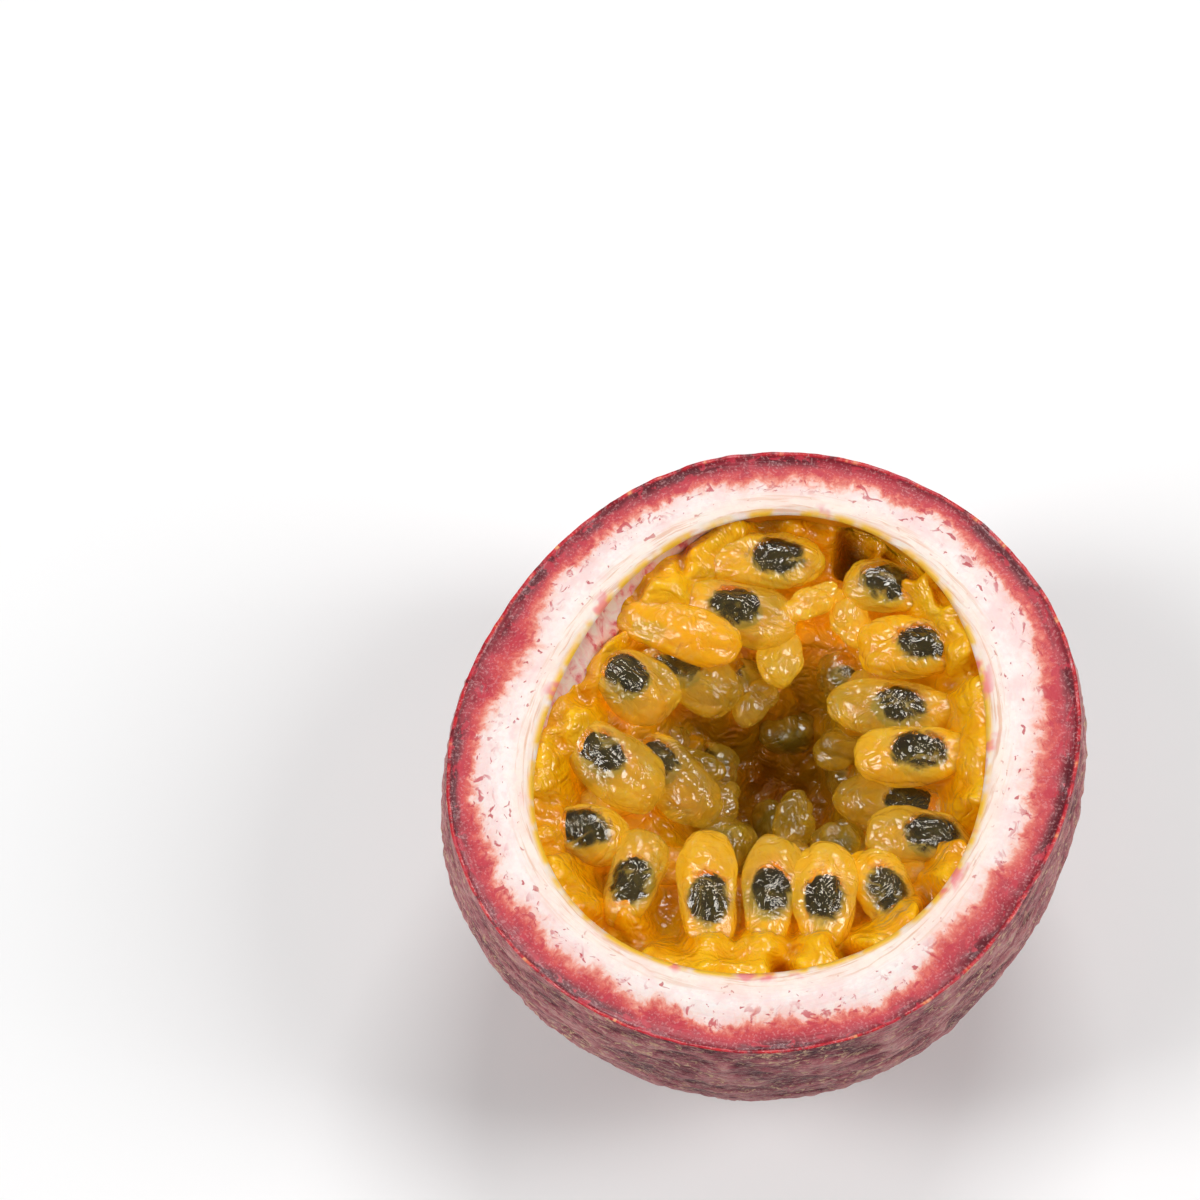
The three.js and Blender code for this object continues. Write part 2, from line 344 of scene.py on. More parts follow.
is_cut = (rind_row > LAST_SKIN_ROW) & (rind_row < FIRST_WALL_ROW)
rim_points = is_skin & (rind_row == LAST_SKIN_ROW)
rim_order = np.argsort(angle[rim_points])
rim_radius = np.hypot(place[rim_points, 0], place[rim_points, 1])[rim_order]
rim_angle = angle[rim_points][rim_order]
rim_here = np.interp(angle, rim_angle, rim_radius, period=math.tau)
inner_place = inner_edge(angle)
cut_radius = mix(rim_here, inner_place, across)
place[is_cut, :2] = on_ring(angle, cut_radius)[is_cut, :2]
depth = np.where(is_skin, 0, (rim_here - cut_radius) / MM)
depth += np.where(is_wall, below_cut, 0)
face = is_cut | rim_points | (rind_row == FIRST_WALL_ROW)
cut_ring = on_ring(angle, 24, depth)
lip = np.exp(-(depth / 0.28) ** 2)
sink = np.exp(-((depth - 1.5) / 1.1) ** 2)
pith = ease(depth, 2.4, 4.4)
round_off = ease(across, 0.86, 1.0)
relief = LIP_HEIGHT * lip * (1 + 0.8 * smooth_noise(cut_ring * [0.5, 0.5, 0]))
relief += PITH_HEIGHT * pith * (1 - round_off) - SINK_DEPTH * sink - ROUND_OFF_DROP * round_off ** 2
relief += 0.10 * smooth_noise(cut_ring / 1.6) + 0.05 * smooth_noise(cut_ring * 1.3)
place[:, 2] += np.where(face, relief * MM, 0)
print("cut face relief from", relief[face].min(), "to", relief[face].max(), "mm")

# %% Roughen the inner wall
wall_bump = 0.35 * smooth_noise(place / MM / 3.5) + 0.12 * smooth_noise(place / MM / 1.2)
wall_fade = ease(below_cut, 0, 3) * is_wall
wall_bump -= SHELF_DEPTH * near_shelf(angle) * ease(below_cut, 0, 3.6) * is_wall
away = place[:, :2] / np.maximum(radius, MM)[:, None]
place[:, :2] += away * (wall_bump * wall_fade * MM)[:, None]
move_points(rind, place)
keep(rind, "depth", depth)
keep(rind, "edge", np.where(is_wall, -below_cut, (cut_radius - inner_place) / MM))
keep(rind, "ring", cut_ring)
keep(rind, "flow", np.hstack([belly, below_cut[:, None]]))
print("wall moved from", wall_bump[is_wall].min(), "to", wall_bump[is_wall].max(), "mm")

# %% [markdown]
# ## Building finishes
# A finish is a chain of nodes. These helpers add a node, link what it reads and set its numbers in one
# line, so that each finish below reads from pattern to colour to shader. Patterns read the object's own
# coordinates or a value kept on its points, so that they stay on the piece wherever it goes.


# %% Node helpers
def linear(red, green, blue):
    """A colour as seen on a screen, 0 to 255, turned into the light values that nodes use."""
    def one(value):
        value /= 255
        return value / 12.92 if value <= 0.04045 else ((value + 0.055) / 1.055) ** 2.4
    return (one(red), one(green), one(blue), 1)


class NodeChain:
    def __init__(self, name):
        self.material = bpy.data.materials.new(name)
        self.material.use_nodes = True
        self.tree = self.material.node_tree
        self.tree.nodes.clear()

    def node(self, kind, sockets=None, **settings):
        made = self.tree.nodes.new(kind)
        for key, value in settings.items():
            setattr(made, key, value)
        for key, value in (sockets or {}).items():
            if isinstance(value, bpy.types.NodeSocket):
                self.tree.links.new(value, made.inputs[key])
            else:
                made.inputs[key].default_value = value
        return made

    def here(self):
        return self.node("ShaderNodeTexCoord").outputs["Object"]

    def kept(self, name, output="Fac"):
        return self.node("ShaderNodeAttribute", attribute_name=name).outputs[output]

    def maths(self, operation, first, second=0.0, third=0.5, clamp=False):
        sockets = {0: first, 1: second, 2: third}
        return self.node("ShaderNodeMath", sockets, operation=operation, use_clamp=clamp).outputs[0]

    def times(self, first, *others):
        for other in others:
            first = self.maths("MULTIPLY", first, other)
        return first

    def total(self, first, *others):
        for other in others:
            first = self.maths("ADD", first, other)
        return first

    def centred(self, cloud, size):
        """A cloud turned into a push to either side of zero."""
        return self.times(self.maths("SUBTRACT", cloud, 0.5), size)

    def finish(self, shader):
        output = self.node("ShaderNodeOutputMaterial")
        self.tree.links.new(shader, output.inputs["Surface"])
        return self.material


# %% Pattern helpers
class Finish(NodeChain):
    def stretch(self, vector, scale, offset=(0, 0, 0)):
        sockets = {"Vector": vector, "Scale": scale, "Location": offset}
        return self.node("ShaderNodeMapping", sockets).outputs[0]

    def clouds(self, vector, scale, detail=3.0, roughness=0.55, distortion=0.0):
        sockets = {"Vector": vector, "Scale": scale, "Detail": detail, "Roughness": roughness}
        sockets["Distortion"] = distortion
        return self.node("ShaderNodeTexNoise", sockets).outputs["Fac"]

    def creased(self, vector, scale):
        """Smooth facets that meet in sharp creases, like wet film."""
        middle = self.maths("SUBTRACT", self.clouds(vector, scale, 2, 0.5, 1.2), 0.5)
        return self.times(self.maths("ABSOLUTE", middle), 1.6)

    def band(self, value, low, high, bottom=0.0, top=1.0):
        """bottom under low, top over high, and a smooth step between."""
        sockets = {"Value": value, "From Min": low, "From Max": high, "To Min": bottom, "To Max": top}
        return self.node("ShaderNodeMapRange", sockets, interpolation_type="SMOOTHSTEP").outputs[0]

    def patches(self, vector, scale, offset, low, high, *cloud):
        """Spots with soft borders. cloud holds the noise's detail, roughness and distortion."""
        return self.band(self.clouds(self.stretch(vector, scale, offset), 1.0, *cloud), low, high)

    def ramp(self, value, stops):
        made = self.node("ShaderNodeValToRGB", {"Fac": value})
        elements = made.color_ramp.elements
        while len(elements) < len(stops):
            elements.new(0.5)
        for element, (position, colour) in zip(elements, stops):
            element.position = position
            element.color = colour
        return made.outputs["Color"]

    def blend(self, share, first, second, how="MIX"):
        made = self.node("ShaderNodeMix", data_type="RGBA", blend_type=how)
        for socket, value in ((made.inputs[0], share), (made.inputs[6], first), (made.inputs[7], second)):
            if isinstance(value, bpy.types.NodeSocket):
                self.tree.links.new(value, socket)
            else:
                socket.default_value = value
        return made.outputs[2]

    def paint(self, base, colour, *shares):
        """A colour laid over base, as strong as the product of the shares."""
        return self.blend(self.times(*shares), base, colour)

    def bump(self, height, strength, distance):
        sockets = {"Height": height, "Strength": strength, "Distance": distance}
        return self.node("ShaderNodeBump", sockets).outputs[0]

    def surface(self, **sockets):
        names = {key.replace("_", " "): value for key, value in sockets.items()}
        return self.node("ShaderNodeBsdfPrincipled", names).outputs[0]


# %% [markdown]
# ## Skin
# The dry skin is plum in the hollows and greyish mauve on the ridges, where wax and light catch it: the
# colour is made lighter up each ridge, partly for the wax and partly as painted sheen, and darker down in the
# hollows as painted shade. Tan flecks, dark lines and pale hairlines lie along the folds. The colours could
# be painted by hand, but here they read the same stretched coordinates as the wrinkles, so that streaks run
# with the folds all the way round.


# %% Skin finish
def make_skin():
    skin = Finish("dry_plum_skin")
    flow = skin.kept("flow", "Vector")
    here = skin.here()
    ridge = skin.kept("ridge")
    streak = skin.clouds(skin.stretch(flow, (0.9, 0.9, 2.6)), 1.0, 5, 0.65, 0.8)
    mottle = skin.clouds(here, 420, 4, 0.6, 0.4)
    patch = skin.clouds(here, 75, 2)
    level = skin.total(
        skin.times(streak, 0.62),
        # Painted sheen and shade, partly wax: the higher up a fold, the lighter the colour.
        skin.maths("MULTIPLY_ADD", ridge, 0.5, -0.22),
        skin.times(mottle, 0.42),
        skin.centred(patch, 0.2),
    )
    base = skin.ramp(level, [
        (0.22, linear(76, 20, 34)),
        (0.36, linear(126, 44, 58)),
        (0.50, linear(170, 84, 94)),
        (0.64, linear(196, 116, 120)),
        (0.82, linear(218, 162, 156)),
    ])
    fleck = skin.patches(flow, (1.3, 1.3, 3.0), (3, 5, 7), 0.55, 0.63, 3, 0.65, 0.8)
    rare = skin.patches(flow, (0.16, 0.16, 0.3), (9, 1, 2), 0.42, 0.6, 1)
    base = skin.paint(base, linear(222, 184, 146), fleck, skin.maths("MULTIPLY_ADD", rare, 0.6, 0.5))
    dark_line = skin.patches(flow, (0.8, 0.8, 3.4), (1, 8, 3), 0.43, 0.34, 3, 0.6, 1.2)
    base = skin.paint(base, linear(84, 32, 44), dark_line, 0.6)
    hairline = skin.patches(flow, (1.1, 1.1, 6.0), (5, 2, 8), 0.54, 0.61, 3, 0.6, 1.4)
    base = skin.paint(base, linear(216, 180, 168), hairline, 0.5)
    fine = skin.clouds(skin.stretch(flow, (1.2, 1.2, 3.4)), 1.0, 4, 0.65, 0.5)
    grain = skin.clouds(here, 1500, 2)
    height = skin.total(fine, skin.times(grain, 0.25))
    return skin.finish(skin.surface(
        Base_Color=base,
        Roughness=skin.band(streak, 0.3, 0.7, 0.62, 0.45),
        Specular_IOR_Level=0.42,
        Sheen_Weight=0.05,
        Sheen_Roughness=0.4,
        Sheen_Tint=linear(225, 200, 205),
        Normal=skin.bump(height, 1.0, 0.45 * MM),
    ))


# %% [markdown]
# ## Cut flesh
# From the skin inwards the cut shows a thin bright red line, flecked with pale orange painted highlights,
# a band of dark crimson, a ragged orange-red border and then white pith with red flecks. It turns fibrous and
# a little yellow where the pulp begins, and pink in a few nicks. The finish reads how deep each point is
# under the skin and shifts that depth by noise, which makes the border ragged. The wall below the rim is pink
# and stringy at the shelf, and has a film of pulp elsewhere.


# %% Depth with a ragged border
def ragged_depth(flesh, depth, ring):
    """Depth under the skin in millimetres, pushed to and fro by noise."""
    lobes = flesh.clouds(flesh.stretch(ring, (0.24, 0.24, 0.1)), 1.0, 1)
    teeth = flesh.clouds(flesh.stretch(ring, (1.0, 1.0, 0.8)), 1.0, 4, 0.65, 0.4)
    grains = flesh.clouds(flesh.stretch(ring, (3.2, 3.2, 2.6)), 1.0, 2, 0.6)
    wide = flesh.clouds(flesh.stretch(ring, (0.07, 0.07, 0)), 1.0, 1)
    shift = flesh.total(flesh.centred(teeth, 2.9), flesh.centred(lobes, 3.2), flesh.centred(grains, 0.5))
    moved = flesh.total(depth, flesh.times(shift, flesh.band(depth, 0.2, 2.0)))
    return flesh.times(moved, flesh.band(wide, 0.3, 0.7, 1.32, 0.86))


# %% Red band
DEEPEST_STOP = 8.0


def red_to_white(flesh, scaled, depth, ring, here):
    base = flesh.ramp(flesh.maths("DIVIDE", scaled, DEEPEST_STOP, clamp=True), [
        (0.000, linear(190, 36, 42)),
        (0.022, linear(168, 28, 38)),
        (0.050, linear(122, 26, 40)),
        (0.110, linear(164, 46, 60)),
        (0.190, linear(190, 58, 70)),
        (0.260, linear(206, 74, 76)),
        (0.320, linear(220, 106, 94)),
        (0.375, linear(236, 156, 138)),
        (0.430, linear(244, 206, 194)),
        (0.500, linear(246, 226, 220)),
        (0.700, linear(247, 238, 233)),
    ])
    murk = flesh.patches(ring, (0.16, 0.16, 0.5), (6, 1, 5), 0.47, 0.59, 3, 0.6)
    under_skin = flesh.times(flesh.band(depth, 0.2, 0.5), flesh.band(depth, 1.7, 0.7))
    base = flesh.paint(base, linear(84, 18, 30), murk, under_skin, 0.85)
    # The rim line's own red, with pale orange spots that are painted highlights of its glossy edge.
    rim_line_and_highlight = flesh.ramp(flesh.clouds(flesh.stretch(ring, (0.8, 0.8, 0)), 1.0, 3, 0.6), [
        (0.38, linear(112, 22, 34)),
        (0.48, linear(184, 24, 42)),
        (0.60, linear(204, 44, 48)),
        (0.68, linear(232, 156, 104)),
    ])
    base = flesh.blend(flesh.band(depth, 0.36, 0.2), base, rim_line_and_highlight)
    dots = flesh.band(flesh.clouds(here, 4200, 3, 0.6), 0.52, 0.64)
    return flesh.paint(base, linear(232, 172, 172), dots, flesh.band(scaled, 3.0, 2.2), 0.3)


# %% Flecks in the pith
def fleck_pith(flesh, base, scaled, depth, edge, ring, here):
    in_white = flesh.band(scaled, 2.9, 3.5)
    blush = flesh.patches(ring, (0.22, 0.22, 0.34), (4, 2, 9), 0.44, 0.66, 4, 0.7)
    base = flesh.paint(base, linear(243, 200, 198), blush, in_white, 0.55)
    mottle = flesh.band(flesh.clouds(here, 1500, 3, 0.6), 0.50, 0.62)
    base = flesh.paint(base, linear(240, 206, 204), mottle, in_white, 0.25)
    blot = flesh.patches(ring, (0.75, 0.75, 0.9), (8, 3, 1), 0.56, 0.64, 3, 0.6, 0.8)
    base = flesh.paint(base, linear(196, 50, 68), blot, flesh.band(depth, 4.8, 2.8), 0.8)
    speck = flesh.patches(ring, (1.2, 1.2, 1.9), (2, 6, 4), 0.66, 0.71, 2, 0.4, 0.6)
    return flesh.paint(base, linear(188, 58, 68), speck, in_white, flesh.band(edge, 0.6, 1.6), 0.85)


# %% Rim and wall
def stain_rim(flesh, base, fibre, edge, ring):
    near_pulp = flesh.band(edge, 2.6, 1.0)
    base = flesh.paint(base, linear(247, 226, 206), near_pulp, 0.5)
    base = flesh.paint(base, linear(230, 190, 166), flesh.band(fibre, 0.50, 0.66), near_pulp)
    stain = flesh.patches(ring, (0.35, 0.35, 0.3), (7, 7, 1), 0.34, 0.54, 2)
    base = flesh.paint(base, linear(249, 196, 56), stain, flesh.band(edge, 0.75, 0.2))
    nick = flesh.patches(ring, (0.22, 0.22, 0.3), (2, 5, 8), 0.56, 0.66, 3, 0.6)
    return flesh.paint(base, linear(236, 118, 134), nick, flesh.band(edge, 1.5, 0.3), 0.8)


def colour_wall(flesh, base, edge, ring, here):
    strand = flesh.clouds(flesh.stretch(here, (900, 900, 200)), 1.0, 4, 0.6, 0.6)
    wall_colour = flesh.ramp(strand, [
        (0.40, linear(246, 226, 216)),
        (0.54, linear(243, 198, 194)),
        (0.63, linear(226, 122, 130)),
        (0.74, linear(200, 64, 84)),
    ])
    towards_shelf = (math.cos(SHELF_HEADING), math.sin(SHELF_HEADING), 0)
    facing = flesh.node("ShaderNodeVectorMath", {0: ring, 1: towards_shelf}, operation="DOT_PRODUCT")
    off_shelf = flesh.band(facing.outputs["Value"], 19, 13)
    wall_colour = flesh.blend(off_shelf, wall_colour, linear(244, 172, 12))
    return flesh.blend(flesh.band(edge, 0.1, -0.5), base, wall_colour)


# %% Flesh finish
def make_flesh():
    flesh = Finish("cut_flesh")
    depth = flesh.kept("depth")
    edge = flesh.kept("edge")
    ring = flesh.kept("ring", "Vector")
    here = flesh.here()
    scaled = ragged_depth(flesh, depth, ring)
    fibre = flesh.clouds(flesh.stretch(ring, (0.18, 0.18, 3.6)), 1.0, 3, 0.6, 0.35)
    base = red_to_white(flesh, scaled, depth, ring, here)
    base = fleck_pith(flesh, base, scaled, depth, edge, ring, here)
    base = stain_rim(flesh, base, fibre, edge, ring)
    base = colour_wall(flesh, base, edge, ring, here)
    sponge = flesh.clouds(here, 1300, 3, 0.6)
    height = flesh.total(flesh.times(sponge, 0.6), fibre)
    return flesh.finish(flesh.surface(
        Base_Color=base,
        Roughness=flesh.band(scaled, 0.3, 2.0, 0.28, 0.52),
        Specular_IOR_Level=0.45,
        Subsurface_Weight=0.25,
        Subsurface_Radius=(1.0, 0.45, 0.3),
        Subsurface_Scale=0.8 * MM,
        Normal=flesh.bump(height, 0.35, 0.18 * MM),
    ))


# %% Dress the rind
rind.data.materials.append(make_skin())
rind.data.materials.append(make_flesh())
for polygon in rind.data.polygons:
    polygon.material_index = 0 if all(is_skin[corner] for corner in polygon.vertices) else 1
settle(rind, ["rind"])
print("rind: 2 finishes on", len(rind.data.polygons), "faces")

# %% [markdown]
# ## Where the sacs lie
# Every sac holds one seed, and the seed's plain solid is an exact oval. Its longest direction gives the way
# the sac points, and how far the sac's points reach along and across it gives the sac's size. The root is
# the end that is further from the hollow. A root that would pass the rind's wall is trimmed back, but never
# so far that the seed comes out of it.

# %% Read the sacs' places
sac_names = sorted(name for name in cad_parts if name.startswith("juice_sac"))
HOLLOW = np.array([1.0, 0.5, HEIGHT / MM - 9]) * MM
WALL_GAP = 0.5
SHELF_REACH = 2.4
ROOT_PAST_SEED = 3.1 * MM
STEEPEST = 0.6


def stand(middle, along, side, up):
    """The move that puts a piece drawn along x, y and z into the fruit."""
    return Matrix.Translation(middle) @ Matrix(np.column_stack([along, side, up])).to_4x4()


def read_place(sac_name):
    seed_points = points_of(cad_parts[sac_name.replace("juice_sac", "seed")])
    middle = (seed_points.min(axis=0) + seed_points.max(axis=0)) / 2
    _, _, directions = np.linalg.svd(seed_points - seed_points.mean(axis=0), full_matrices=False)
    along = directions[0]
    if along @ (middle - HOLLOW) > 0:
        along = -along
    side = np.cross((0, 0, 1), along)
    side /= np.linalg.norm(side)
    up = np.cross(along, side)
    sac_points = points_of(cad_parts[sac_name]) - middle
    reach = sac_points @ along
    width = np.ptp(sac_points @ side)
    height = np.ptp(sac_points @ up)
    centre = middle + along * (reach.min() + reach.max()) / 2
    length = np.ptp(reach)
    root = centre - along * length / 2
    heading = math.atan2(root[1], root[0])
    room = inner_edge(np.array([heading]))[0] - (WALL_GAP + SHELF_REACH * near_shelf(heading)) * MM
    over = max(0, math.hypot(root[0], root[1]) - room) / max(np.linalg.norm(along[:2]), STEEPEST)
    behind_seed = (middle - root) @ along - ROOT_PAST_SEED
    trim = min(over, max(0, behind_seed))
    centre += along * trim / 2
    length -= trim
    return {"length": length, "width": width, "height": height, "centre": centre,
            "seed": middle, "along": along, "side": side, "up": up}


sacs = [read_place(name) for name in sac_names]
print("sacs:", len(sacs), "longest", max(sac["length"] for sac in sacs))

# %% [markdown]
# ## The pulp bed
# Juice and torn membrane fill the room between the sacs. The bed's top is a disc of fine rings whose height
# is worked out place by place: a bowl that is steep at the rind, raised round each sac like a cloth drawn
# up over it, notched at the rind, sunk in one deep recess, with small lumps in the hollow. A cloth
# simulation could drape it too, but not alike each time. Its underside follows the rind's inner wall.

# %% Roll up the pulp bed
BED_PRESS = 0.06 * MM
BED_SEGMENTS = 420
BED_RINGS = 104
UNDER_ROWS = 26
bed_low, bed_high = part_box("pulp_bed")
under_length = CAVITY_HALF_LENGTH - 0.3 * MM
bed_under = oval_rows(cavity_radius + BED_PRESS, under_length, bed_low.z, bed_high.z, UNDER_ROWS)
bed_under[0, 0] = 0
bed_shares = np.linspace(1, 0, BED_RINGS)[1:]
bed_top = np.stack([bed_shares * bed_under[-1, 0], np.full(BED_RINGS - 1, bed_high.z)], axis=1)
pulp, pulp_row = roll_section("fruit_pulp", np.concatenate([bed_under, bed_top]), BED_SEGMENTS)
pulp_place = points_of(pulp)
pulp_angle = np.arctan2(pulp_place[:, 1], pulp_place[:, 0])
pulp_radius = np.hypot(pulp_place[:, 0], pulp_place[:, 1])
pulp_wave = mix(1, inner_edge(pulp_angle) / INNER_RADIUS, out_of_round(pulp_radius))
pulp_place[:, :2] *= pulp_wave[:, None]
print("pulp bed blank:", len(pulp.data.polygons), "faces")

# %% The bowl and the skirts round the sacs
HOLLOW_MIDDLE = np.array([1.5, 0.6])
RIM_FALL = 6.2
HOLLOW_FALL = 10.5


def bowl_height(flat, heading, wall):
    """The bowl before anything lies in it: steep at the rind, then a shelf, then the hollow in the middle."""
    hollow = np.hypot(*(flat - HOLLOW_MIDDLE).T)
    edge_drop = np.maximum(0.2, 0.7 + 0.9 * smooth_noise(on_ring(heading, 5) + 33) * (1 - ease(wall, 2, 7)))
    fall = edge_drop + RIM_FALL * ease(wall, 0.2, 5.0) + HOLLOW_FALL * ease(-hollow, -13.0, -3.5)
    return HEIGHT / MM - fall


def skirt_height(sac, flat):
    """The pulp drawn up round one sac: over its root, down its sides and away under its tip."""
    offset = flat - sac["centre"][:2] / MM
    level_share = max(np.linalg.norm(sac["along"][:2]), STEEPEST)
    run = sac["along"][:2] / np.linalg.norm(sac["along"][:2])
    half = sac["length"] * level_share / 2 / MM
    u = offset @ run / half
    v = offset @ np.array([-run[1], run[0]])
    tilt = np.clip(sac["along"][2] / level_share, -0.7, 0.7) * half
    girth = sac["height"] / 2 / MM
    line = sac["centre"][2] / MM + tilt * np.clip(u, -1.3, 1) - girth * (0.42 + 0.90 * np.clip(u, -1.1, 1))
    line += 0.62 * girth * ease(-u, 0.5, 0.9)
    spread = 0.36 * sac["width"] / MM * (1 + 0.5 * np.clip(-u - 0.5, 0, 2))
    past_tip = np.maximum(0, u - 0.7) * half / 1.2
    past_root = np.maximum(0, -u - 2.2) * half / 2
    return np.minimum(line, HEIGHT / MM - 0.6) - 1.1 * (past_tip ** 2 + past_root ** 2 + (v / spread) ** 2)


# %% The height of the bed's top
LUMP_COUNT = 22
SOFTNESS = 0.35
NOTCH_DEPTH = 4.4
RECESS_HEADING = math.radians(70)
RECESS_SPREAD = 0.26
RECESS_DEPTH = 3.2
TOP_SHELF_DROP = 2.6


def lump_height(number, flat):
    """One small round lump on the hollow's floor. The lumps lie along a spiral."""
    turn = number * 2.4
    place = HOLLOW_MIDDLE + np.array([[math.cos(turn), math.sin(turn)]]) * (3.4 + 1.3 * (number % 5))
    floor_here = bowl_height(place, np.arctan2(place[:, 1], place[:, 0]), np.array([9.0]))
    girth = 1.2 + 0.25 * (number % 3)
    return floor_here + 1.9 - (np.hypot(*(flat - place).T) / girth) ** 2


def bed_height(points):
    """Height of the pulp's top in millimetres above the resting surface."""
    flat = points[:, :2] / MM
    heading = np.arctan2(points[:, 1], points[:, 0])
    wall = (inner_edge(heading) - np.hypot(points[:, 0], points[:, 1])) / MM
    heights = [bowl_height(flat, heading, wall)]
    heights += [skirt_height(sac, flat) for sac in sacs]
    heights += [lump_height(number, flat) for number in range(LUMP_COUNT)]
    stack = np.stack(heights)
    peak = stack.max(axis=0)
    merged = peak + SOFTNESS * np.log(np.exp((stack - peak) / SOFTNESS).sum(axis=0))
    along_wall = on_ring(heading, 6.5) + 0.35 * smooth_noise(points / MM / 3.0 + 12)[:, None]
    notch = NOTCH_DEPTH * ease(smooth_noise(along_wall + 71), -0.1, 0.5)
    merged -= notch * (1 - ease(wall, 0.3, 4.0)) * (1 - near_shelf(heading))
    recess = np.exp(-((heading - RECESS_HEADING) / RECESS_SPREAD) ** 2)
    merged -= RECESS_DEPTH * recess * (1 - ease(wall, 1.5, 4.0))
    wandering_wall = wall + 1.2 * smooth_noise(points / MM / 2.2 + 3)
    return merged - TOP_SHELF_DROP * near_shelf(heading) * (1 - ease(wandering_wall, 1.2, 2.6))


# %% Drape the pulp
FOLD_RISE = 0.42
RIPPLE_RISE = 0.34
BELOW_FACE = 0.35
is_top = pulp_row >= len(bed_under) - 1
top_points = pulp_place[is_top]
level = bed_height(top_points)
spot = top_points / MM
sway = smooth_noise(spot / 5 + 60)
fold = crease_noise(np.column_stack([spot[:, 0] / 3.4 + 0.5 * sway, spot[:, 1] / 3.4, level / 4]) + 5)
ripple = smooth_noise(np.column_stack([spot[:, :2] / 1.5, level / 2]) + 15)
level += FOLD_RISE * fold + RIPPLE_RISE * ripple
level = np.minimum(level, HEIGHT / MM - BELOW_FACE)
pulp_place[is_top, 2] = level * MM
move_points(pulp, pulp_place)
keep(pulp, "level", pulp_place[:, 2] / MM)
clean_up(pulp)
print("pulp's top from", level.min(), "to", level.max(), "mm")

# %% [markdown]
# ## Pulp finish
# The pulp is thick orange juice: light goes in, spreads and comes back orange, and the wet top mirrors the
# lamps. The deeper a point lies, the darker and browner its colour is painted, as painted shade in the
# recesses and the hollow. The clear coat reads the same creases as the colour below it.


# %% Wet pulp
DEEPEST_PULP = 18.0


def make_pulp():
    juice = Finish("wet_orange_pulp")
    here = juice.here()
    cloud = juice.clouds(here, 260, 3, 0.55, 0.6)
    base = juice.ramp(cloud, [
        (0.25, linear(230, 146, 0)),
        (0.45, linear(244, 174, 4)),
        (0.62, linear(246, 186, 12)),
        (0.80, linear(250, 204, 36)),
    ])
    # Painted shade: the colour is multiplied darker and browner the deeper the pulp lies below the cut face.
    sunk = juice.maths("SUBTRACT", HEIGHT / MM, juice.kept("level"))
    shade = juice.ramp(juice.maths("DIVIDE", sunk, DEEPEST_PULP), [
        (0.05, (1, 1, 1, 1)),
        (0.17, (0.92, 0.80, 0.42, 1)),
        (0.29, (0.68, 0.54, 0.22, 1)),
        (0.52, (0.32, 0.27, 0.10, 1)),
        (0.90, (0.20, 0.16, 0.05, 1)),
    ])
    base = juice.blend(1.0, base, shade, "MULTIPLY")
    height = juice.clouds(here, 620, 3, 0.5, 1.0)
    facets = juice.creased(here, 360)
    height = juice.total(juice.times(height, 0.7), facets)
    wrinkled = juice.bump(height, 0.85, 0.55 * MM)
    return juice.finish(juice.surface(
        Base_Color=base,
        Roughness=0.3,
        Specular_IOR_Level=0.1,
        Subsurface_Weight=0.4,
        Subsurface_Radius=(0.8, 0.6, 0.15),
        Subsurface_Scale=1.0 * MM,
        Coat_Weight=1.0,
        Coat_Roughness=0.03,
        Normal=wrinkled,
        Coat_Normal=wrinkled,
    ))


pulp.data.materials.append(make_pulp())
settle(pulp, ["pulp_bed"])
print("pulp:", len(pulp.data.polygons), "faces")

# %% [markdown]
# ## Juice sacs
# A sac is a thin bag of clear gel. One is made from a sphere: blunted at its ends, narrowed towards its
# root, bent a little, and dented by noise. Each takes its dents from its own place in the noise, so no two
# are alike. Each point keeps how openly the seed shows there and how golden the gel is, and a sac that lies
# deeper gets less of this value, which paints its gel darker and more olive as painted shade. Clouded
# sacs hide their seed in pulp, and golden ones are partly filled with it.

# %% Make a sac
SAC_SEGMENTS = 96
SAC_RINGS = 72
SEED_SIZE = np.array([5.0, 3.6, 2.3]) * MM
CLOUDED = {7, 21, 23}
SAC_WIDENING = 1.30
SAC_THICKENING = 0.86
SAC_PLUMPNESS = 1.06
SAC_SAG = 0.35 * MM
GOLDEN = {1: 0.8, 3: 0.7, 4: 1.0, 7: 1.0, 9: 0.6, 14: 0.7, 16: 0.6, 18: 0.55, 19: 0.8}


def new_ball(name, segments, rings):
    return added(bpy.ops.mesh.primitive_uv_sphere_add, name, segments=segments, ring_count=rings, radius=1)


def lying_ball(name, segments, rings):
    """A ball whose poles lie along x, its points, and 0 to 1 towards the root at -x."""
    piece = new_ball(name, segments, rings)
    piece.data.transform(Matrix.Rotation(math.radians(90), 4, "Y"))
    spot = points_of(piece)
    return piece, spot, (1 - spot[:, 0]) / 2


